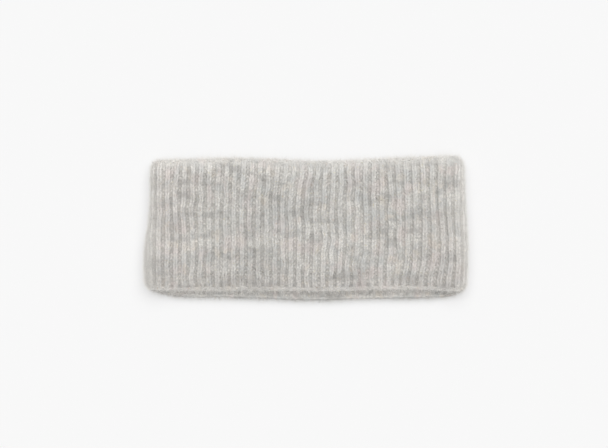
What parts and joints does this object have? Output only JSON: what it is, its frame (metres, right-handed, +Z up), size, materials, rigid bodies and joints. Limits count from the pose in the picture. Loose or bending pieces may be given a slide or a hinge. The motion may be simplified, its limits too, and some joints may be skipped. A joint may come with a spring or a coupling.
{
  "type": "ear warmer headband",
  "caption": "Rib-knit ear warmer headband: a wide loop of soft brushed wool that warms the ears and forehead, lying flat.",
  "frame": {"origin": "middle of the band's outline seen from above, on the surface that it lies on", "axes": "+X across the band from its left fold to its right, +Y up the band's height, +Z up from the surface"},
  "size_m": [0.2298, 0.1032, 0.0149],
  "materials": {
    "heather_knit": "brushed heather wool rib"
  },
  "bodies": {
    "root": {"rib_knit_band": "heather_knit"}
  },
  "joints": []
}
